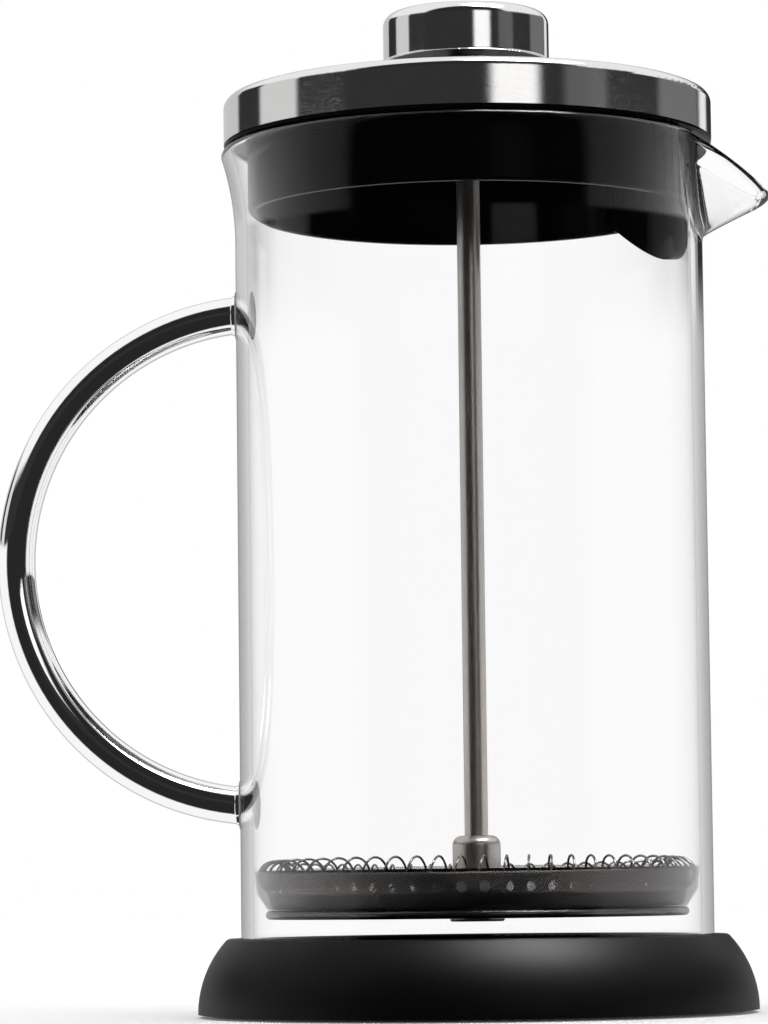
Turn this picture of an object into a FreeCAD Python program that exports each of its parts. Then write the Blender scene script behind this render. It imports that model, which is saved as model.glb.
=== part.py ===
"""French press: a glass beaker in a moulded base, with a bonded tube handle, a capped strainer lid
and a plunger whose filter is a mesh cup held out by a coil spring.

Millimetres. The origin is the centre of the foot's underside, +Z is up, the spout points along +X
and the handle along -X. The plunger is pressed down.
"""
import FreeCAD, Part
import math
import os

V = FreeCAD.Vector
UP = V(0, 0, 1)

# ---- clearances ----
fixed_gap = 0.05        # between round faces that are fixed together
running_gap = 0.05      # radial play of the rod in what turns or slides on it
seat_gap = 0.3          # under a piece that rests on another but lifts off
lid_seat_gap = 0.2      # flange over the glass rim
glass_gap = 0.4         # lid skirt and filter inside the glass
cap_gap = 0.2           # cap's wall round the lid's deck

# ---- base ----
base_height = 16.4
base_foot_flare = 9.25  # foot's edge beyond the glass
base_top_flare = 3.2    # top edge beyond the glass
base_pocket_gap = 0.35  # pocket round the glass
base_floor = 1.2
base_edge_round = 0.6
foot_proud = 0.6        # pad below the base's edge
foot_thick = 1.6
foot_inset = 2.6        # pad's edge in from the base's edge
cushion_thick = 0.8
cushion_width = 12.0

# ---- glass ----
glass_r = 50.0
glass_wall = 2.5
glass_floor = 3.2
glass_corner = 6.0
rim_z = 184.4
flare_r = 60.0          # radius of the wall's outward curve under the rim
flare_deg = 17.5
spout_reach = 15.0      # tip beyond the glass wall
spout_half_deg = 21.0
spout_tip_drop = 10.9   # tip below the rim
spout_keel_drop = 19.1  # where the keel leaves the wall
spout_tip_half = 2.8
spout_tip_deep = 3.0
spout_wall = 2.2

# ---- handle ----
tube_r = 4.0
tube_wall = 1.0
handle_reach = 102.3    # furthest side of the tube from the axis
handle_r = 52.8         # radius of the tube's centre line
handle_mid_z = 97.2
foot_length = 1.1       # glass to the tube's end
foot_r = 4.3            # plate that closes the tube's end
bond_thick = 0.35
bond_r = 5.2

# ---- lid ----
flange_proud = 2.2      # flange beyond the glass wall
flange_thick = 0.9
skirt_depth = 14.1
skirt_wall = 2.0
deck_thick = 2.0
tongue_drop = 9.2       # tongue below the skirt
tongue_half_deg = 34.0
slot_width = 1.4
slot_pitch_deg = 4.4
slot_count = 21
slot_margin = 0.9       # above the skirt's edge and below the flange
lid_turn_deg = 12.0     # the strainer's middle, turned from the spout
cap_height = 9.9
cap_proud = 0.1         # cap's wall beyond the flange's edge
cap_sheet = 0.8
cap_edge_round = 2.0
cap_dome = 3.6
post_r = 10.0
boss_drop = 3.2
bush_tube_r = 4.2
bush_flange_r = 8.0
bush_flange_thick = 1.3
bush_nut_r = 7.5
bush_nut_thick = 3.0

# ---- plunger and knob ----
rod_r = 2.5
rod_chamfer = 0.5
rod_in_knob = 8.0
collar_r = 7.0
collar_thick = 2.6
knob_r = 17.8
knob_height = 10.7
knob_round = 2.6
knob_sheet = 0.8
knob_lip = 0.5          # core's underside above the shell's edge
insert_r = 4.0
insert_length = 9.0

# ---- filter ----
filter_z = 19.5         # underside of the nut
nut_r = 5.8
nut_thick = 1.9
cross_inset = 2.7       # cross plate's edge in from the glass bore
cross_sheet = 0.8
cross_bead_r = 0.9
mesh_sheet = 0.25
mesh_height = 9.3
mesh_floor_inset = 2.7
plate_sheet = 0.5
plate_top_inset = 2.3   # spiral plate's lip in from the glass bore
plate_wall_lean = 1.9
plate_height = 8.1
plate_corner = 1.5
hub_r = 5.1
hub_top_z = 37.6
hub_round = 2.0
coil_count = 60
coil_r = 3.2
coil_wire_r = 0.25
coil_rise = 7.55        # coil's centre above the plate's floor
coil_inset = 4.4        # coil's centre in from the glass bore
coil_hole_r = 1.1

# ---- worked out ----
bore_r = glass_r - glass_wall
foot_edge_r = glass_r + base_foot_flare
cushion_z = foot_thick + base_floor
glass_z = cushion_z + cushion_thick
glass_floor_z = glass_z + glass_floor
spout_half = glass_r * math.sin(math.radians(spout_half_deg)) + 1.0
handle_centre_x = handle_r + tube_r - handle_reach
tube_end_x = -(glass_r + foot_length)
handle_half_z = math.sqrt(handle_r ** 2 - (tube_end_x - handle_centre_x) ** 2)
flange_z = rim_z + lid_seat_gap
flange_top_z = flange_z + flange_thick
flange_r = glass_r + flange_proud
skirt_r = bore_r - glass_gap
skirt_z = flange_z - skirt_depth
cap_r = flange_r + cap_proud
cap_top_z = flange_top_z + cap_height
cap_crown_z = cap_top_z + cap_dome
deck_top_z = flange_top_z + deck_thick
bush_top_z = cap_crown_z + bush_flange_thick
collar_z = bush_top_z + seat_gap
knob_z = collar_z + collar_thick
rod_top_z = knob_z + rod_in_knob
cross_z = filter_z + nut_thick
mesh_z = cross_z + cross_sheet
plate_z = mesh_z + mesh_sheet
hub_z = plate_z + plate_sheet
filter_r = bore_r - glass_gap
rod_z = filter_z + 0.4
coil_z = plate_z + coil_rise
coil_ring_r = bore_r - coil_inset


# ---- helpers ----
def outline(corners):
    """Closed wire in the XZ plane through corners (x, z) or (x, z, rounding)."""
    ends = []
    for i, corner in enumerate(corners):
        here = V(corner[0], 0, corner[1])
        if len(corner) == 2:
            ends.append((here, None, here))
            continue
        before, after = corners[i - 1], corners[(i + 1) % len(corners)]
        back = (V(before[0], 0, before[1]) - here).normalize()
        on = (V(after[0], 0, after[1]) - here).normalize()
        half = back.getAngle(on) / 2
        reach = corner[2] / math.tan(half)
        middle = here + (back + on).normalize() * (corner[2] / math.sin(half) - corner[2])
        ends.append((here + back * reach, middle, here + on * reach))
    edges = []
    for i, (start, middle, end) in enumerate(ends):
        if middle:
            edges.append(Part.Arc(start, middle, end).toShape())
        following = ends[(i + 1) % len(ends)][0]
        if (following - end).Length > 1e-6:
            edges.append(Part.LineSegment(end, following).toShape())
    return Part.Wire(edges)


def turned(corners):
    """Solid of revolution about Z from corners (r, z) or (r, z, rounding)."""
    return Part.Face(outline(corners)).revolve(V(0, 0, 0), UP, 360)


def disc(radius, low, high):
    return Part.makeCylinder(radius, high - low, V(0, 0, low))


def tube(outer, inner, low, high):
    return disc(outer, low, high).cut(disc(inner, low - 1, high + 1))


def around(shape, degrees):
    turned_copy = shape.copy()
    turned_copy.rotate(V(0, 0, 0), UP, degrees)
    return turned_copy


def ring_of(shape, count, first=0.0):
    """Copies of a shape spread evenly round Z."""
    return [around(shape, first + 360.0 * i / count) for i in range(count)]


def curve_corner(start_z, radius, degrees):
    """Height where the tangents of an arc that starts upright at start_z meet."""
    return start_z + radius * math.tan(math.radians(degrees) / 2)


# ---- base ----
def base_shell():
    top_r = glass_r + base_top_flare
    shoulder_z = base_height - 0.3
    across, up = foot_edge_r - top_r, shoulder_z - foot_proud
    side_r = (across ** 2 + up ** 2) / (2 * across)
    side_deg = math.degrees(math.asin(up / side_r))
    pocket_r = glass_r + base_pocket_gap
    pad_r = foot_edge_r - foot_inset
    return turned([
        (0, foot_thick), (pad_r, foot_thick), (pad_r, foot_proud), (foot_edge_r, foot_proud),
        (foot_edge_r, curve_corner(foot_proud, side_r, side_deg), side_r),
        (top_r, shoulder_z), (top_r - 0.5, base_height, 0.25), (pocket_r, base_height, base_edge_round),
        (pocket_r, cushion_z, glass_corner), (0, cushion_z)])


def base_foot_pad():
    return turned([(0, 0), (foot_edge_r - foot_inset - fixed_gap, 0, 0.4),
                   (foot_edge_r - foot_inset - fixed_gap, foot_thick), (0, foot_thick)])


def base_cushion_ring():
    outer = glass_r - glass_corner
    return tube(outer, outer - cushion_width, cushion_z, glass_z)


# ---- glass ----
def flared_corners(radius, curve_r, end_out):
    """Corner and end of a wall line that curves outwards under the rim."""
    start_z = rim_z - glass_wall / 2 - (flare_r + glass_wall / 2) * math.sin(math.radians(flare_deg))
    lean = math.radians(flare_deg)
    end_r = radius + curve_r * (1 - math.cos(lean)) + end_out * math.sin(lean)
    end_z = start_z + curve_r * math.sin(lean) + end_out * math.cos(lean)
    return (radius, curve_corner(start_z, curve_r, flare_deg), curve_r), (end_r, end_z)


def spout_section(x, inset, cover):
    """V-shaped section of the spout across X; cover carries it on above the lip."""
    root_x = glass_r * math.cos(math.radians(spout_half_deg)) + 2.6
    tip_x = glass_r + spout_reach
    share = (tip_x - x) / (tip_x - root_x)
    half = spout_tip_half + (spout_half - spout_tip_half) * share - inset * (0.9 + 0.3 * share)
    lip = rim_z - spout_tip_drop + spout_tip_drop * share
    keel_share = (tip_x - x) / (tip_x - glass_r - 0.7)
    keel_rise = spout_keel_drop - spout_tip_drop - spout_tip_deep
    keel = rim_z - spout_tip_drop - spout_tip_deep - keel_rise * keel_share + inset * 1.1
    keel_round = (0.5 + 6.0 * share) * (1.0 if inset == 0 else 0.7)
    corners = [(-half, lip), (0, keel, keel_round), (half, lip)]
    if cover:
        corners += [(half, lip + cover), (-half, lip + cover)]
    wire = outline(corners)
    wire.rotate(V(0, 0, 0), UP, 90)
    wire.translate(V(x, 0, 0))
    return wire


def glass_beaker():
    half_wall = glass_wall / 2
    outer_corner, outer_end = flared_corners(glass_r, flare_r, half_wall)
    inner_corner, inner_end = flared_corners(bore_r, flare_r + glass_wall, half_wall)
    wall = turned([
        (0, glass_z), (glass_r, glass_z, glass_corner), outer_corner, outer_end + (half_wall * 0.98,),
        inner_end + (half_wall * 0.98,), inner_corner,
        (bore_r, glass_floor_z, glass_corner - glass_wall), (0, glass_floor_z)])
    root_x, tip_x = glass_r - 8.0, glass_r + spout_reach
    beak = Part.makeLoft([spout_section(root_x, 0, 0), spout_section(tip_x, 0, 0)], True, True)
    channel = Part.makeLoft([spout_section(root_x, spout_wall, rim_z),
                             spout_section(tip_x + 0.1, spout_wall, rim_z)], True, True)
    middle_corner, middle_end = flared_corners(bore_r + half_wall, flare_r + half_wall, 0)
    inside = turned([(0, glass_floor_z), (bore_r + half_wall, glass_floor_z), middle_corner,
                     middle_end, (middle_end[0], 2 * rim_z), (0, 2 * rim_z)])
    beak = beak.common(disc(2 * glass_r, 0, rim_z - 0.4)).cut(inside).cut(channel)
    return wall.cut(channel).fuse(beak).removeSplitter()


# ---- handle ----
def handle_tube():
    centre = V(handle_centre_x, 0, handle_mid_z)
    swing = math.degrees(math.acos((handle_centre_x - tube_end_x) / handle_r)) + 4
    start = V(handle_centre_x - handle_r, 0, handle_mid_z)
    ring = Part.Face(Part.Wire(Part.makeCircle(tube_r, start, UP)))
    ring = ring.cut(Part.Face(Part.Wire(Part.makeCircle(tube_r - tube_wall, start, UP))))
    upper = ring.revolve(centre, V(0, 1, 0), swing)
    lower = ring.revolve(centre, V(0, -1, 0), swing)
    beyond = Part.makeBox(glass_r, 4 * tube_r, 2 * rim_z, V(tube_end_x, -2 * tube_r, 0))
    return upper.fuse(lower).cut(beyond).removeSplitter()


def handle_foot(height):
    """Plate that closes the tube's end, hollowed to the glass on its other side."""
    end = glass_r + foot_length
    boss = turned([(0, glass_r / 2), (foot_r, glass_r / 2), (foot_r, end, 0.25), (0, end)])
    boss.rotate(V(0, 0, 0), V(0, 1, 0), -90)
    boss.translate(V(0, 0, height))
    return boss.cut(disc(glass_r + bond_thick, 0, 2 * rim_z))


def bond_pad(height):
    """Thin adhesive disc that follows the glass."""
    spot = Part.makeCylinder(bond_r, -tube_end_x, V(0, 0, height), V(-1, 0, 0))
    return spot.common(tube(glass_r + bond_thick, glass_r, height - bond_r, height + bond_r))


# ---- lid ----
def lid_body():
    bore = bush_tube_r + fixed_gap
    deck_r = cap_r - cap_sheet - cap_gap
    post_top = cap_crown_z - cap_sheet - dome_fall(post_r) - 2 * fixed_gap
    body = turned([
        (bore, flange_z - boss_drop), (post_r, flange_z - boss_drop), (post_r, flange_z),
        (skirt_r - skirt_wall, flange_z), (skirt_r - skirt_wall, skirt_z, 0.5), (skirt_r, skirt_z, 0.5),
        (skirt_r, flange_z), (flange_r, flange_z, 0.6), (flange_r, flange_top_z, 0.5),
        (deck_r, flange_top_z), (deck_r, deck_top_z), (post_r, deck_top_z), (post_r, post_top),
        (bore, post_top)])
    half = skirt_r * math.sin(math.radians(tongue_half_deg))
    side, tip = V(0, -half, skirt_z + 1), V(0, 0, skirt_z - tongue_drop)
    far = V(0, half, skirt_z + 1)
    shape = Part.Face(Part.Wire([Part.Arc(side, tip, far).toShape(),
                                 Part.LineSegment(far, side).toShape()]))
    tongue = shape.extrude(V(2 * glass_r, 0, 0)).common(
        tube(skirt_r, skirt_r - skirt_wall, skirt_z - 2 * tongue_drop, skirt_z + 2))
    slot_high = skirt_depth - 2 * slot_margin
    slot = Part.makeBox(3 * skirt_wall, slot_width, slot_high,
                        V(skirt_r - 2 * skirt_wall, -slot_width / 2, skirt_z + slot_margin))
    middle = (slot_count - 1) / 2
    slots = [around(slot, (i - middle) * slot_pitch_deg) for i in range(slot_count)]
    return around(body.fuse(tongue).removeSplitter().cut(Part.makeCompound(slots)), lid_turn_deg)


def dome_fall(radius):
    """How far the cap's dome has fallen from its crown at a radius."""
    edge = cap_r - cap_edge_round
    sphere = (edge ** 2 + cap_dome ** 2) / (2 * cap_dome)
    return sphere - math.sqrt(sphere ** 2 - radius ** 2)


def lid_cap():
    """Drawn cap: an upright wall, a rounded edge and a shallow dome, bored for the bush."""
    def dish(radius, crown_z, edge_round):
        edge = radius - edge_round
        edge_z = crown_z - dome_fall(edge)
        wall_top = V(radius, 0, edge_z - edge_round)
        corner_mid = V(edge + edge_round * math.sin(math.pi / 4), 0,
                       edge_z - edge_round * (1 - math.cos(math.pi / 4)))
        dome_mid = V(edge / 2, 0, crown_z - dome_fall(edge / 2))
        crown, foot = V(0, 0, crown_z), V(0, 0, flange_top_z)
        rim = V(radius, 0, flange_top_z)
        wire = Part.Wire([
            Part.LineSegment(foot, rim).toShape(), Part.LineSegment(rim, wall_top).toShape(),
            Part.Arc(wall_top, corner_mid, V(edge, 0, edge_z)).toShape(),
            Part.Arc(V(edge, 0, edge_z), dome_mid, crown).toShape(),
            Part.LineSegment(crown, foot).toShape()])
        return Part.Face(wire).revolve(V(0, 0, 0), UP, 360)
    outer = dish(cap_r, cap_crown_z, cap_edge_round)
    inner = dish(cap_r - cap_sheet, cap_crown_z - cap_sheet, cap_edge_round - cap_sheet)
    return outer.cut(inner).cut(disc(bush_tube_r + fixed_gap, 0, 2 * cap_crown_z))


def rod_guide_bush():
    bore = rod_r + running_gap
    low = flange_z - boss_drop - bush_nut_thick
    return turned([(bore, low), (bush_tube_r, low, 0.4), (bush_tube_r, cap_crown_z),
                   (bush_flange_r, cap_crown_z), (bush_flange_r, bush_top_z, 0.6),
                   (bore, bush_top_z)])


def guide_bush_nut():
    high = flange_z - boss_drop
    low = high - bush_nut_thick + 0.5
    corners = [V(bush_nut_r * math.cos(math.radians(60 * i)), bush_nut_r * math.sin(math.radians(60 * i)), low)
               for i in range(7)]
    nut = Part.Face(Part.makePolygon(corners)).extrude(V(0, 0, high - low))
    return nut.cut(disc(bush_tube_r + fixed_gap, low - 1, high + 1))


# ---- plunger ----
def plunger_rod():
    return turned([(0, rod_z), (rod_r - rod_chamfer, rod_z), (rod_r, rod_z + rod_chamfer),
                   (rod_r, rod_top_z - rod_chamfer), (rod_r - rod_chamfer, rod_top_z),
                   (0, rod_top_z)])


# ---- knob ----
def knob_shell():
    top = knob_z + knob_height
    inner = knob_r - knob_sheet
    return turned([(0, top), (knob_r, top, knob_round), (knob_r, knob_z, knob_sheet * 0.45),
                   (inner, knob_z, knob_sheet * 0.45),
                   (inner, top - knob_sheet, knob_round - knob_sheet), (0, top - knob_sheet)])


def knob_core():
    top = knob_z + knob_height - knob_sheet
    outer = knob_r - knob_sheet - fixed_gap
    hole = insert_r + fixed_gap
    low = knob_z + knob_lip
    return turned([(hole, low), (outer, low), (outer, top, knob_round - knob_sheet + 0.3), (0, top),
                   (0, low + insert_length), (hole, low + insert_length)])


def knob_thread_insert():
    low = knob_z + knob_lip
    return tube(insert_r, rod_r + running_gap, low, low + insert_length)


def knob_collar():
    bore = rod_r + running_gap
    return turned([(bore, collar_z), (collar_r, collar_z, 0.5), (collar_r, knob_z + knob_lip),
                   (bore, knob_z + knob_lip)])


# ---- filter ----
def filter_nut():
    bore = rod_r + running_gap
    return turned([(bore, filter_z), (nut_r, filter_z, 0.5), (nut_r, cross_z), (bore, cross_z)])


def cross_plate():
    """Stiff plate under the mesh, pierced all over, with a rolled edge."""
    edge_r = bore_r - cross_inset
    bead_mid = edge_r - cross_bead_r
    plate = tube(bead_mid, rod_r + running_gap, cross_z, mesh_z)
    bead_z = mesh_z - cross_bead_r
    bead = Part.makeTorus(bead_mid, cross_bead_r, V(0, 0, bead_z), UP)
    holes = []
    for ring_share, hole_share, count in ((0.3, 0.08, 6), (0.56, 0.105, 10), (0.82, 0.105, 16)):
        hole = Part.makeCylinder(edge_r * hole_share, 4, V(edge_r * ring_share, 0, cross_z - 1))
        holes += ring_of(hole, count)
    return plate.fuse(bead).removeSplitter().cut(Part.makeCompound(holes))


def mesh_screen():
    """Thin cup of woven cloth, as a plain sheet."""
    top_z = mesh_z + mesh_height
    floor_r = bore_r - mesh_floor_inset
    lip_in = filter_r - mesh_sheet
    turn_z = mesh_z + 4.0
    turn_r = filter_r - 0.5
    return turned([
        (rod_r + running_gap, mesh_z), (floor_r, mesh_z, 1.5), (turn_r, turn_z, 6.0), (filter_r, top_z),
        (lip_in, top_z), (turn_r - mesh_sheet, turn_z, 6.0),
        (floor_r - mesh_sheet, plate_z, 1.3), (rod_r + running_gap, plate_z)])


def plate_wall_r(height):
    """Middle of the spiral plate's leaning wall at a height."""
    lip_r = bore_r - plate_top_inset
    return lip_r - plate_wall_lean * (plate_z + plate_height - height) / plate_height


def spiral_plate():
    """Pierced dish that carries the coil: one hole in its wall for each turn."""
    top_z = plate_z + plate_height
    half = plate_sheet / 2
    floor_r = plate_wall_r(plate_z)
    dish = turned([
        (rod_r + running_gap, plate_z), (floor_r + half, plate_z, plate_corner),
        (plate_wall_r(top_z) + half, top_z), (plate_wall_r(top_z) - half, top_z),
        (floor_r - half, hub_z, plate_corner - plate_sheet), (rod_r + running_gap, hub_z)])
    across = V(1, 0, 0)
    cross_z_of_coil = coil_z - math.sqrt(coil_r ** 2 - 0.16)
    hole = Part.makeCylinder(coil_hole_r, 8, V(coil_ring_r - 3, 0, cross_z_of_coil), across)
    holes = ring_of(hole, coil_count)
    for ring_share, hole_share, count in ((0.32, 0.05, 12), (0.55, 0.05, 20), (0.78, 0.05, 28)):
        drain = Part.makeCylinder(floor_r * hole_share, 4, V(floor_r * ring_share, 0, plate_z - 1))
        holes += ring_of(drain, count)
    return dish.cut(Part.makeCompound(holes))


def edge_spring():
    """The coil's turns, each closed on itself where it passes through its hole."""
    turn = Part.makeTorus(coil_r, coil_wire_r, V(coil_ring_r, 0, coil_z), V(0, 1, 0))
    return Part.makeCompound(ring_of(turn, coil_count))


def filter_hub():
    bore = rod_r + running_gap
    return turned([(bore, hub_z), (hub_r, hub_z), (hub_r, hub_top_z, hub_round), (bore, hub_top_z)])


upper_foot_z = handle_mid_z + handle_half_z
lower_foot_z = handle_mid_z - handle_half_z

nodes = {
    "glass_beaker": glass_beaker(),
    "base_shell": base_shell(),
    "base_foot_pad": base_foot_pad(),
    "base_cushion_ring": base_cushion_ring(),
    "handle_tube": handle_tube(),
    "upper_handle_foot": handle_foot(upper_foot_z),
    "lower_handle_foot": handle_foot(lower_foot_z),
    "upper_bond_pad": bond_pad(upper_foot_z),
    "lower_bond_pad": bond_pad(lower_foot_z),
    "lid_body": lid_body(),
    "lid_cap": lid_cap(),
    "rod_guide_bush": rod_guide_bush(),
    "guide_bush_nut": guide_bush_nut(),
    "plunger_rod": plunger_rod(),
    "knob_shell": knob_shell(),
    "knob_core": knob_core(),
    "knob_thread_insert": knob_thread_insert(),
    "knob_collar": knob_collar(),
    "filter_nut": filter_nut(),
    "cross_plate": cross_plate(),
    "mesh_screen": mesh_screen(),
    "spiral_plate": spiral_plate(),
    "edge_spring": edge_spring(),
    "filter_hub": filter_hub(),
}

os.makedirs("parts", exist_ok=True)
for name, shape in nodes.items():
    shape.exportStep(f"parts/{name}.step")
    box = shape.BoundBox
    print(f"{name:20} valid {shape.isValid()} solids {len(shape.Solids):2} volume {shape.Volume / 1000:8.3f} cm3"
          f"  x {box.XMin:7.2f} {box.XMax:7.2f}  z {box.ZMin:7.2f} {box.ZMax:7.2f}")
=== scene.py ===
# French press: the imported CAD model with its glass, spring and woven screen made here.
# Metres, in the CAD model's own frame: +Z up, spout towards +X, handle towards -X.
import bpy
import math
from mathutils import Matrix, Vector


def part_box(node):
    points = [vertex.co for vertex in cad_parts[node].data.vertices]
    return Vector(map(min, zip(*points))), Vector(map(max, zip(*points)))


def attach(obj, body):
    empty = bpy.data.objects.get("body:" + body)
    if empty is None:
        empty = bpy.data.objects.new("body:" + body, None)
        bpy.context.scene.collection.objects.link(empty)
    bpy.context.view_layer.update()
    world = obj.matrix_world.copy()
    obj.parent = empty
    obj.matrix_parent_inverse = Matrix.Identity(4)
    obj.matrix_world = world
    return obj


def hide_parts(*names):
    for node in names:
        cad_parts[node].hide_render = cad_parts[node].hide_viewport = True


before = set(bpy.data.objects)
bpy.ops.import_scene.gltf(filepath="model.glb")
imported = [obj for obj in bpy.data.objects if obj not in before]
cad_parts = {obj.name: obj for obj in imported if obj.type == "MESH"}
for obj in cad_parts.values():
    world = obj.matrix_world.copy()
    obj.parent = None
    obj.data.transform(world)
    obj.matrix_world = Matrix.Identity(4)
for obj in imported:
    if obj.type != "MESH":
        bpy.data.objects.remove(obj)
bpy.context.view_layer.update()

camera = {  # near the table's height and looking slightly up
    "azimuth": 4.0,  # degrees round from the front, towards the spout
    "distance": 0.9447,
    "height": 0.0272,
    "lens": 156.2,  # millimetres, as is the sensor's width
    "sensor": 36,
    "nearest": 0.01,
    "turn": -1.14,  # degrees, so that the handle fits in the view
    "pitch": 4.81,
    "roll": -0.665,
}


def addCamera():
    swing = Matrix.Rotation(math.radians(camera["azimuth"]), 3, "Z")
    turn, pitch = math.radians(camera["turn"]), math.radians(camera["pitch"])
    ahead = Vector((math.sin(turn), math.cos(turn), 0)) * math.cos(pitch)
    ahead.z = math.sin(pitch)
    right = Vector((math.cos(turn), -math.sin(turn), 0))
    up = right.cross(ahead)
    roll = math.radians(camera["roll"])
    tiltedRight = right * math.cos(roll) + up * math.sin(roll)
    tiltedUp = up * math.cos(roll) - right * math.sin(roll)
    axes = swing @ Matrix((tiltedRight, tiltedUp, -ahead)).transposed()
    place = swing @ Vector((0, -camera["distance"], camera["height"]))
    bpy.ops.object.camera_add()
    eye = bpy.context.object
    eye.name = "camera"
    eye.matrix_world = Matrix.Translation(place) @ axes.to_4x4()
    eye.data.lens = camera["lens"]
    eye.data.sensor_width = camera["sensor"]
    eye.data.clip_start = camera["nearest"]
    bpy.context.scene.camera = eye
    print("camera placed")


class Value:  # a node's output that can be used in sums
    def __init__(self, shader, socket):
        self.shader = shader
        self.socket = socket

    def maths(self, operation, *others):
        sockets = dict(enumerate((self, *others)))
        return self.shader.node("ShaderNodeMath", {"operation": operation}, sockets)

    def __add__(self, other):
        return self.maths("ADD", other)

    def __sub__(self, other):
        return self.maths("SUBTRACT", other)

    def __rsub__(self, other):
        sockets = {0: other, 1: self}
        return self.shader.node("ShaderNodeMath", {"operation": "SUBTRACT"}, sockets)

    def __mul__(self, other):
        return self.maths("MULTIPLY", other)

    def __truediv__(self, other):
        return self.maths("DIVIDE", other)

    __radd__ = __add__
    __rmul__ = __mul__

    def ramp(self, low, high, lowValue=0.0, highValue=1.0):  # eased between two inputs
        settings = {"interpolation_type": "SMOOTHSTEP"}
        sockets = {0: self, 1: low, 2: high, 3: lowValue, 4: highValue}
        return self.shader.node("ShaderNodeMapRange", settings, sockets)


class Shader:  # one material's or the world's node tree
    def __init__(self, owner):
        owner.use_nodes = True
        self.tree = owner.node_tree
        self.tree.nodes.clear()

    def node(self, kind, settings=None, sockets=None, output=0):
        made = self.tree.nodes.new(kind)
        for key, setting in (settings or {}).items():
            setattr(made, key, setting)
        for key, value in (sockets or {}).items():
            if isinstance(value, Value):
                self.tree.links.new(value.socket, made.inputs[key])
            else:
                made.inputs[key].default_value = value
        return Value(self, made.outputs[output]) if made.outputs else None


def ownPlace(shader):  # the piece's own coordinates, in metres
    return shader.node("ShaderNodeTexCoord", output="Object")


def axisParts(shader, vector):
    return [shader.node("ShaderNodeSeparateXYZ", {}, {0: vector}, axis) for axis in range(3)]


def noise(shader, place, scale, detail=2.0, roughness=0.5, stretch=(1, 1, 1)):
    spread = shader.node("ShaderNodeMapping", {}, {"Vector": place, "Scale": stretch})
    sockets = {"Vector": spread, "Scale": scale, "Detail": detail, "Roughness": roughness}
    return shader.node("ShaderNodeTexNoise", {}, sockets, "Fac")


def bump(shader, height, depth):
    return shader.node("ShaderNodeBump", {}, {"Height": height, "Distance": depth, "Strength": 1.0})


mixSockets = {"share": 0, "first": 6, "second": 7, "result": 2}  # a mix node's own for colours


def mixColours(shader, share, first, second):  # each is a colour or a node's output
    sockets = {mixSockets["share"]: share}
    for end, colour in (("first", first), ("second", second)):
        sockets[mixSockets[end]] = colour if isinstance(colour, Value) else (*colour, 1)
    return shader.node("ShaderNodeMix", {"data_type": "RGBA"}, sockets, mixSockets["result"])


def startMaterial(name):
    material = bpy.data.materials.new(name)
    return material, Shader(material)


def endMaterial(shader, sockets):
    surface = shader.node("ShaderNodeBsdfPrincipled", {}, sockets)
    shader.node("ShaderNodeOutputMaterial", {}, {"Surface": surface})


steelKinds = {
    "drawn": {"colour": (0.80, 0.79, 0.785), "roughness": 0.07, "scratch": 0.05},
    "polished": {"colour": (0.93, 0.925, 0.92), "roughness": 0.03, "scratch": 0.015},
    "turned": {"colour": (0.50, 0.475, 0.445), "roughness": 0.30, "scratch": 0.22},
    "stamped": {"colour": (0.10, 0.098, 0.095), "roughness": 0.24, "scratch": 0.10},
    "wire": {"colour": (0.26, 0.245, 0.23), "roughness": 0.2, "scratch": 0.05},
}


def steel(kind, stretch):  # fine marks, drawn out along the axes where the stretch is small
    look = steelKinds[kind]
    scratch = look["scratch"]
    material, shader = startMaterial(kind + " steel")
    place = ownPlace(shader)
    marks = noise(shader, place, scale=900, detail=4, roughness=0.6, stretch=stretch)
    blotches = noise(shader, place, scale=60, detail=3)
    rough = marks * scratch + blotches * scratch * 0.5 + (look["roughness"] - scratch * 0.7)
    endMaterial(shader, {
        "Base Color": (*look["colour"], 1), "Metallic": 1.0, "Roughness": rough,
        "Normal": bump(shader, marks, depth=0.000004)})
    return material


def blackPlastic(name, roughness, sheen, grain):  # the sheen is its specular level
    material, shader = startMaterial(name)
    place = ownPlace(shader)
    skin = noise(shader, place, scale=2600, detail=2)
    wear = noise(shader, place, scale=45, detail=3)
    endMaterial(shader, {
        "Base Color": (0.0016, 0.0015, 0.0016, 1), "Roughness": wear * 0.1 + (roughness - 0.05),
        "Specular IOR Level": sheen, "Normal": bump(shader, skin, depth=grain)})
    return material


def rubber():
    material, shader = startMaterial("foot rubber")
    skin = noise(shader, ownPlace(shader), scale=1500, detail=3)
    endMaterial(shader, {
        "Base Color": (0.012, 0.012, 0.012, 1), "Roughness": skin * 0.1 + 0.65,
        "Normal": bump(shader, skin, depth=0.00003)})
    return material


def adhesive():
    material, shader = startMaterial("bond adhesive")
    cloud = noise(shader, ownPlace(shader), scale=500, detail=3)
    tint = mixColours(shader, cloud, (0.20, 0.205, 0.21), (0.33, 0.335, 0.34))
    endMaterial(shader, {"Base Color": tint, "Roughness": 0.25})
    return material


def brass():
    material, shader = startMaterial("insert brass")
    marks = noise(shader, ownPlace(shader), scale=700, detail=3, stretch=(1, 1, 12))
    endMaterial(shader, {
        "Base Color": (0.70, 0.50, 0.22, 1), "Metallic": 1.0, "Roughness": marks * 0.1 + 0.2})
    return material


nearest = 1e-6  # points no further apart than this are one


def deselectAll():
    if bpy.context.object and bpy.context.object.mode != "OBJECT":
        bpy.ops.object.mode_set(mode="OBJECT")
    bpy.ops.object.select_all(action="DESELECT")


def arc(centreX, centreZ, radius, start, end, steps):  # degrees from +X towards +Z
    angles = [math.radians(start + (end - start) * i / steps) for i in range(steps + 1)]
    return [(centreX + radius * math.cos(a), centreZ + radius * math.sin(a)) for a in angles]


def line(start, end, steps):
    shares = [i / steps for i in range(steps + 1)]
    return [tuple(a + (b - a) * s for a, b in zip(start, end)) for s in shares]


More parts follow.
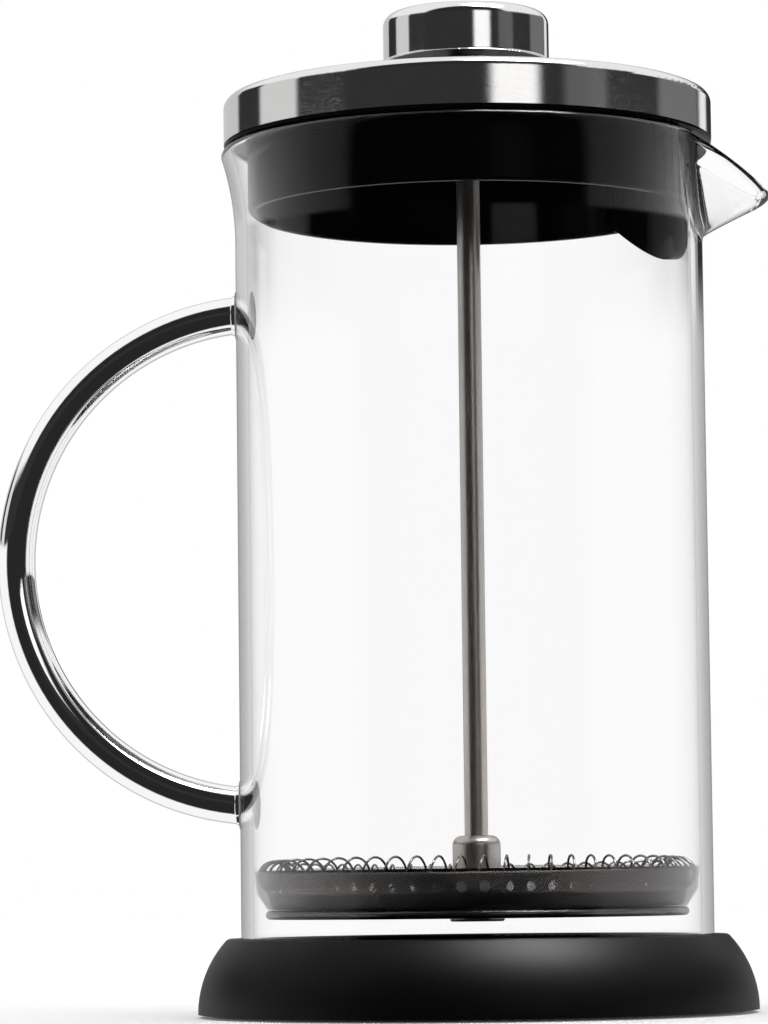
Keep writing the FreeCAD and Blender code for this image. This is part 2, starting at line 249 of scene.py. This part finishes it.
def mergeAndTurnOut(gap):  # in edit mode; leaves it
    bpy.ops.mesh.select_all(action="SELECT")
    bpy.ops.mesh.remove_doubles(threshold=gap)
    bpy.ops.mesh.normals_make_consistent(inside=False)
    bpy.ops.object.mode_set(mode="OBJECT")
    bpy.ops.object.shade_smooth()


def lathe(name, outline, sides):  # a ring drawn out along the outline, closed on the axis or on itself
    deselectAll()
    points = [p for i, p in enumerate(outline) if i == 0 or math.dist(p, outline[i - 1]) > nearest]
    onAxis = points[0][0] < nearest
    rings = points[1:-1] if onAxis else points
    radius, height = rings[0]
    bpy.ops.mesh.primitive_circle_add(vertices=sides, radius=radius, location=(0, 0, height))
    turned = bpy.context.object
    turned.name = name
    bpy.ops.object.transform_apply(location=True, rotation=True, scale=True)
    bpy.ops.object.mode_set(mode="EDIT")
    bpy.ops.mesh.select_all(action="SELECT")
    for following in rings[1:] if onAxis else rings[1:] + rings[:1]:
        rise = (0, 0, following[1] - height)
        bpy.ops.mesh.extrude_edges_move(TRANSFORM_OT_translate={"value": rise})
        share = following[0] / radius
        bpy.ops.transform.resize(value=(share, share, 1), center_override=(0, 0, following[1]))
        radius, height = following
    if onAxis:  # the last ring is closed to a point, and then the first
        bpy.ops.mesh.edge_face_add()
        bpy.ops.mesh.poke()
        bpy.ops.mesh.select_all(action="DESELECT")
        bpy.ops.mesh.select_non_manifold()
        bpy.ops.mesh.edge_face_add()
        bpy.ops.mesh.poke()
    mergeAndTurnOut(nearest)
    return turned


def finish(piece, body, node, slot, *materials):
    piece.data.materials.clear()
    for material in materials:
        piece.data.materials.append(material)
    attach(piece, body)
    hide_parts(node)
    deselectAll()


beaker = {
    "radius": 0.050,
    "wall": 0.0025,
    "floor": 0.0032,
    "corner": 0.006,
    "flareRadius": 0.0600,
    "flareDegrees": 17.5,
    "sides": 288,
    "hub": 0.004,  # radius of the innermost ring, round the middle of the bottom
    "ringGap": 0.001,  # from the end of a curve to the next straight stretch
    "fineHeight": 0.007,  # of the closer rings under the flare
    "rings": {"bottom": 6, "corner": 8, "wall": 26, "fine": 5, "flare": 22, "rim": 10, "innerCorner": 6},
    "spoutTip": (0.0650, 0.1736),  # x, z of the lip's tip
    "spoutRootZ": 0.1645,  # where the keel leaves the wall
    "spoutHalf": 25.0,  # degrees either side at the rim
    "rootShare": 0.35,  # of that width is left at the root
    "lipCurve": 1.12,  # over 1, the lip's sides curve in towards the tip
    "keelTip": 0.72,  # share of the way up at which the keel is as far out as the lip
    "keelEase": 0.2,  # either side of that share, over which the keel turns upright
    "keelFull": 0.0012,  # further out at the root than at the rim
    "tipSoft": 2.4,  # degrees over which the tip and keel are rounded
}
glass = {
    "tint": (0.985, 0.982, 0.988, 1),
    "bending": 1.474,
    "mirrored": (0.14, 0.14, 0.145, 1),
    # the colour of the painted edge shade, not a tint of the glass itself
    "paintedEdgeShade": (0.03, 0.03, 0.032, 1),
    "outerEdge": (0.86, 0.98, 0.5),  # how edge on the painted edge shade starts and is full, and its share
    "innerEdge": (0.80, 0.92, 0.7),
}


def clearGlass(name, edgeFrom, edgeTo, paintedShadeShare):  # it darkens where its surface is seen edge on: painted shade for the dark edges that glass shows by bending its dark surroundings into view
    material, shader = startMaterial(name)
    edgeOn = shader.node("ShaderNodeLayerWeight", {}, {"Blend": 0.5}, "Facing")
    share = edgeOn.ramp(edgeFrom, edgeTo, 0.0, paintedShadeShare)
    clear = shader.node("ShaderNodeBsdfPrincipled", {}, {
        "Base Color": glass["tint"], "Roughness": 0.0, "IOR": glass["bending"],
        "Transmission Weight": 1.0, "Specular Tint": glass["mirrored"]})
    # painted shade: a dark, dull surface mixed in where the glass is seen edge on
    dark = shader.node("ShaderNodeBsdfPrincipled", {}, {
        "Base Color": glass["paintedEdgeShade"], "Roughness": 0.4, "Specular IOR Level": 0.1})
    both = shader.node("ShaderNodeMixShader", {}, {0: share, 1: clear, 2: dark})
    shader.node("ShaderNodeOutputMaterial", {}, {"Surface": both})
    return material


def flareStart(rimZ):  # height at which the wall starts to curve outwards
    bend = beaker["flareRadius"] + beaker["wall"] / 2
    return rimZ - beaker["wall"] / 2 - bend * math.sin(math.radians(beaker["flareDegrees"]))


def wallMiddle(z, rimZ):  # radius of the middle of the wall, before the spout is drawn
    bend = beaker["flareRadius"] + beaker["wall"] / 2
    share = min(1.0, max(0.0, (z - flareStart(rimZ)) / bend))
    return beaker["radius"] - beaker["wall"] / 2 + bend * (1 - math.sqrt(1 - share * share))


def beakerOutline():  # from the middle of the bottom, up outside, over the rim and down inside
    low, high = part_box("glass_beaker")
    radius, wall, corner = beaker["radius"], beaker["wall"], beaker["corner"]
    lean, flare, rings = beaker["flareDegrees"], beaker["flareRadius"], beaker["rings"]
    hub, gap, fine = beaker["hub"], beaker["ringGap"], beaker["fineHeight"]
    flareZ, flareX = flareStart(high.z), radius + flare
    endX = flareX - (flare + wall / 2) * math.cos(math.radians(lean))
    endZ = high.z - wall / 2
    bore, floorZ, small = radius - wall, low.z + beaker["floor"], corner - wall
    outer = [(0, low.z)] + line((hub, low.z), (radius - corner, low.z), rings["bottom"])
    outer += arc(radius - corner, low.z + corner, corner, -90, 0, rings["corner"])
    outer += line((radius, low.z + corner + gap), (radius, flareZ - fine - gap), rings["wall"])
    outer += line((radius, flareZ - fine), (radius, flareZ), rings["fine"])
    outer += arc(flareX, flareZ, flare, 180, 180 - lean, rings["flare"])[1:]
    rim = arc(endX, endZ, wall / 2, -lean, 180 - lean, rings["rim"])[1:-1]
    inner = arc(flareX, flareZ, flare + wall, 180 - lean, 180, rings["flare"])
    inner += line((bore, flareZ - gap), (bore, flareZ - fine), rings["fine"])
    inner += line((bore, flareZ - fine - gap), (bore, low.z + corner + gap), rings["wall"])
    inner += arc(bore - small, floorZ + small, small, 0, -90, rings["innerCorner"])
    inner += line((bore - small - 2 * gap, floorZ), (hub, floorZ), rings["bottom"]) + [(0, floorZ)]
    return outer + rim + inner


def pullSpout(piece, rimZ):  # draws the rim out and down to a tip on the +X side
    tipX, tipZ = beaker["spoutTip"]
    rootZ, soft, ease = beaker["spoutRootZ"], beaker["tipSoft"], beaker["keelEase"]
    rootShare = beaker["rootShare"]
    reach = tipX - wallMiddle(rimZ, rimZ) - beaker["wall"] / 2
    for vertex in piece.data.vertices:
        x, y, z = vertex.co
        if z < rootZ or x < 0:
            continue
        level = min(1.0, (z - rootZ) / (rimZ - rootZ))
        degrees = math.degrees(math.atan2(y, x))
        half = beaker["spoutHalf"] * (rootShare + (1 - rootShare) * level)
        away = math.sqrt(degrees ** 2 + soft ** 2) - soft
        share = max(0.0, 1 - away / (half - soft / 2)) ** beaker["lipCurve"]
        out = level / beaker["keelTip"]
        out = out - max(0.0, out - (1 - ease)) ** 2 / (4 * ease) if out < 1 + ease else 1.0
        radius = math.hypot(x, y)
        pull = (reach + beaker["keelFull"] * (1 - level)) * share * min(1.0, out)
        scale = (radius + pull) / radius
        vertex.co = (x * scale, y * scale, z - (rimZ - tipZ) * share * level)


def makeBeaker():
    piece = lathe("beaker_glass", beakerOutline(), beaker["sides"])
    low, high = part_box("glass_beaker")
    justUnderFloor, rimZ = low.z + beaker["floor"] - 0.0001, high.z
    for face in piece.data.polygons:  # the second material is for the inner side
        x, y, z = face.center
        face.material_index = int(z > justUnderFloor and math.hypot(x, y) < wallMiddle(z, rimZ))
    pullSpout(piece, rimZ)
    piece.data.update()
    finish(piece, "beaker", "glass_beaker", "beaker_glass",
           clearGlass("glass outer side", *glass["outerEdge"]),
           clearGlass("glass inner side", *glass["innerEdge"]))
    print("beaker made")


screen = {
    "pitch": 0.00052,
    "wireShare": 0.10,  # half the wire's width over the pitch
    "wireSoft": 0.2,  # of that half, over which the wire's edge fades
    "crownDepth": 0.00012,
    "turn": 45.0,  # degrees of the weave round the rod
    "floorZ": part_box("mesh_screen")[0].z,
    "topZ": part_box("mesh_screen")[1].z,
    "topRadius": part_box("mesh_screen")[1].x,
    "bore": 0.0026,
    "sheet": 0.00022,
    "sides": 256,
    "taper": 0.0023,  # the floor's radius is smaller than the top's
    "corner": 0.0012,
    "footRise": (0.0004, 0.0016),  # out and up from the floor's edge to the steep wall
    "turnIn": 0.0005,  # from the top's radius, where the wall turns upright
    "turnRise": 0.004,
    "brimRise": (0.0001, 0.0006),  # out and up from that turn to the upright part
    "floorSkin": 0.0008,  # points lower than this are the floor's
    "dip": 0.0008,  # its edge stands lower on the front side and higher on the back
}


def wovenSteel():  # the weave lies as it was in the flat disc, before its edge was pressed up
    material, shader = startMaterial("woven steel")
    x, y, z = axisParts(shader, ownPlace(shader))
    radius = (x * x + y * y).maths("SQRT")
    flat = (radius + (z - screen["floorZ"])) / radius
    turn = math.radians(screen["turn"])
    along = (x * math.cos(turn) + y * math.sin(turn)) * flat / screen["pitch"]
    across = (y * math.cos(turn) - x * math.sin(turn)) * flat / screen["pitch"]
    warp = along.maths("PINGPONG", 0.5)
    weft = across.maths("PINGPONG", 0.5)
    half, soft = screen["wireShare"], screen["wireSoft"]
    warpWire = 1 - warp.ramp(half * (1 - soft), half * (1 + soft))
    weftWire = 1 - weft.ramp(half * (1 - soft), half * (1 + soft))
    cover = warpWire.maths("MAXIMUM", weftWire)
    crown = (0.5 - warp).maths("MAXIMUM", 0.5 - weft)
    endMaterial(shader, {
        "Base Color": (0.22, 0.21, 0.20, 1), "Metallic": 1.0, "Roughness": 0.3,
        "Alpha": cover, "Normal": bump(shader, crown, depth=screen["crownDepth"])})
    return material


def makeScreen():
    floorZ, topZ, radius = screen["floorZ"], screen["topZ"], screen["topRadius"]
    bore, corner, sheet = screen["bore"], screen["corner"], screen["sheet"]
    floorRadius = radius - screen["taper"]
    turnZ, turnRadius = floorZ + screen["turnRise"], radius - screen["turnIn"]
    footOut, footUp = screen["footRise"]
    brimOut, brimUp = screen["brimRise"]
    outer = line((bore, floorZ), (floorRadius - corner, floorZ), 8)
    outer += arc(floorRadius - corner, floorZ + corner, corner, -70, -20, 4)
    outer += line((floorRadius + footOut, floorZ + footUp), (turnRadius, turnZ), 5)
    outer += line((turnRadius + brimOut, turnZ + brimUp), (radius, topZ), 6)
    floorTop = floorZ + screen["floorSkin"]
    inner = [(r - sheet, z + sheet if z < floorTop else z) for r, z in reversed(outer)]
    inner[-1] = (bore, floorZ + sheet)
    cup = lathe("woven_screen", outer + inner, screen["sides"])
    for vertex in cup.data.vertices:
        x, y, z = vertex.co
        share = max(0.0, (z - floorZ) / (topZ - floorZ))
        vertex.co.z = z + screen["dip"] * share * (y / radius - 1)
    finish(cup, "filter", "mesh_screen", "screen_mesh", wovenSteel())
    print("woven screen made")


spring = {
    "turns": 60,
    "wire": 0.00025,
    "coil": 0.0032,
    "ring": 0.0431,
    "z": 0.0292,
    "dip": 0.0007,  # higher on the front side, lower on the back
    "wireSides": 8,
    "steps": 28,
}


def makeSpring():
    deselectAll()
    turnCount, coil = spring["turns"], spring["coil"]
    bpy.ops.mesh.primitive_circle_add(vertices=spring["wireSides"], radius=spring["wire"],
                                      location=(coil, 0, 0), rotation=(math.pi / 2, 0, 0))
    wire = bpy.context.object
    wire.name = "edge_spring_coil"
    bpy.ops.object.transform_apply(location=True, rotation=True, scale=True)
    screw = wire.modifiers.new("turns", "SCREW")
    screw.angle = 2 * math.pi
    screw.screw_offset = 1.0 / turnCount
    screw.iterations = turnCount
    screw.steps = screw.render_steps = spring["steps"]
    screw.use_merge_vertices = False
    bpy.ops.object.modifier_apply(modifier=screw.name)
    for vertex in wire.data.vertices:  # the straight coil, 1 long, is bent into a ring
        x, y, along = vertex.co
        turned = math.atan2(y, x) / (2 * math.pi)  # share of a turn round the coil
        nominal = (round(along * turnCount - turned) + turned) / turnCount
        swing = 2 * math.pi * nominal
        sideways = along - nominal
        out = spring["ring"] - y
        placeX = out * math.cos(swing) - sideways * math.sin(swing)
        placeY = out * math.sin(swing) + sideways * math.cos(swing)
        vertex.co = (placeX, placeY, spring["z"] + x - spring["dip"] * placeY / spring["ring"])
    bpy.ops.object.mode_set(mode="EDIT")
    mergeAndTurnOut(10 * nearest)
    finish(wire, "filter", "edge_spring", "spring_wire", steel("wire", (1, 1, 1)))
    print("edge spring made")


def dressNodes():  # the CAD nodes that stay get their finishes
    upright, ringwise, anyWay = (14, 14, 1), (1, 1, 18), (1, 1, 1)
    polished, stamped = steel("polished", anyWay), steel("stamped", anyWay)
    drawn, turned = steel("drawn", ringwise), steel("turned", upright)
    satin = blackPlastic("base plastic", roughness=0.42, sheen=0.10, grain=0.00002)
    gloss = blackPlastic("lid plastic", roughness=0.14, sheen=0.022, grain=0.000004)
    looks = {
        "base_shell": satin, "base_foot_pad": rubber(), "base_cushion_ring": rubber(),
        "handle_tube": polished, "upper_handle_foot": polished, "lower_handle_foot": polished,
        "upper_bond_pad": adhesive(), "lower_bond_pad": adhesive(),
        "lid_body": gloss, "lid_cap": drawn, "rod_guide_bush": turned, "guide_bush_nut": turned,
        "plunger_rod": turned, "knob_shell": drawn, "knob_core": gloss,
        "knob_thread_insert": brass(), "knob_collar": turned, "filter_nut": turned,
        "cross_plate": stamped, "spiral_plate": stamped, "filter_hub": turned,
    }
    for name, material in looks.items():
        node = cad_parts[name]
        node.data.materials.clear()
        node.data.materials.append(material)
    print("CAD nodes dressed")


studio = {
    # soft panels that upright steel mirrors, in a band a little above the table's height:
    # from and to, in degrees round from the camera's side, + to its right, and brightness
    "panels": [
        (-185, -135, 0.6), (-115, -85, 0.7), (10, 35, 1.2),
        (45, 70, 0.1), (100, 140, 0.15), (140, 155, 0.9),
    ],
    "panelEdge": 3.0,  # degrees over which a panel fades
    "betweenPanels": 0.03,
    "bandFrom": (0.118, 0.140),  # rise of the band's lower edge, as a sine
    "bandTo": (0.30, 0.42),
    "white": (1.0, 1.0, 1.0),
    "grey": (0.45, 0.45, 0.45),
    "black": (0.02, 0.02, 0.02),
    "dark": (0.42, 0.56),  # cosines from the camera's side between which white gives way to black
    "behind": (0.60, 1.0),  # cosines from the far side between which white turns grey
    "lampTurn": 51.0,  # degrees to the camera's right
    "lampRise": 69.0,
    "lampWidth": 20.0,
    "lampPower": 48.0,
    "floor": 6.0,
    "floorDrop": 0.0001,
    "floorGlow": 0.12,
}


def addStudio():  # plain white, and what gloss mirrors in place of it
    world = bpy.data.worlds.new("studio")
    bpy.context.scene.world = world
    shader = Shader(world)
    x, y, z = axisParts(shader, shader.node("ShaderNodeTexCoord", output="Generated"))
    swing = math.radians(camera["azimuth"])
    side = x * math.cos(swing) + y * math.sin(swing)
    towards = x * math.sin(swing) - y * math.cos(swing)
    bearing = side.maths("ARCTAN2", towards) * math.degrees(1)
    band, edge = studio["betweenPanels"], studio["panelEdge"]
    for start, end, brightness in studio["panels"]:
        inside = bearing.ramp(start, start + edge) - bearing.ramp(end - edge, end)
        band = inside * brightness + band
    pale = mixColours(shader, (0 - towards).ramp(*studio["behind"]), studio["white"], studio["grey"])
    plain = mixColours(shader, towards.ramp(*studio["dark"]), pale, studio["black"])
    share = z.ramp(*studio["bandFrom"]) - z.ramp(*studio["bandTo"])
    mirrored = mixColours(shader, share, plain, band)
    turn, rise = math.radians(studio["lampTurn"]), math.radians(studio["lampRise"])
    lampSide, lampFront = math.sin(turn) * math.cos(rise), math.cos(turn) * math.cos(rise)
    lampWay = side * lampSide + towards * lampFront + z * math.sin(rise)
    lamp = lampWay.ramp(math.cos(math.radians(studio["lampWidth"])), 1.0, 0.0, studio["lampPower"])
    mirrors = shader.node("ShaderNodeLightPath", {}, {}, "Glossy Depth").maths("MINIMUM", 1.0)
    colour = mixColours(shader, mirrors, studio["white"], mirrored)
    back = shader.node("ShaderNodeBackground", {}, {0: colour, 1: lamp * mirrors + 1})
    shader.node("ShaderNodeOutputWorld", {}, {"Surface": back})
    print("studio light made")


def addFloor():
    deselectAll()
    bpy.ops.mesh.primitive_plane_add(size=studio["floor"], location=(0, 0, -studio["floorDrop"]))
    floor = bpy.context.object
    floor.name = "floor"
    material, shader = startMaterial("pale floor")
    endMaterial(shader, {
        "Base Color": (0.9, 0.9, 0.9, 1), "Roughness": 0.9, "Specular IOR Level": 0.1,
        "Emission Color": (1, 1, 1, 1), "Emission Strength": studio["floorGlow"]})
    floor.data.materials.append(material)
    floor.visible_glossy = floor.visible_transmission = False
    print("floor laid")


addCamera()
makeBeaker()
makeScreen()
makeSpring()
dressNodes()
addStudio()
addFloor()
bpy.context.scene.view_settings.view_transform = "Standard"
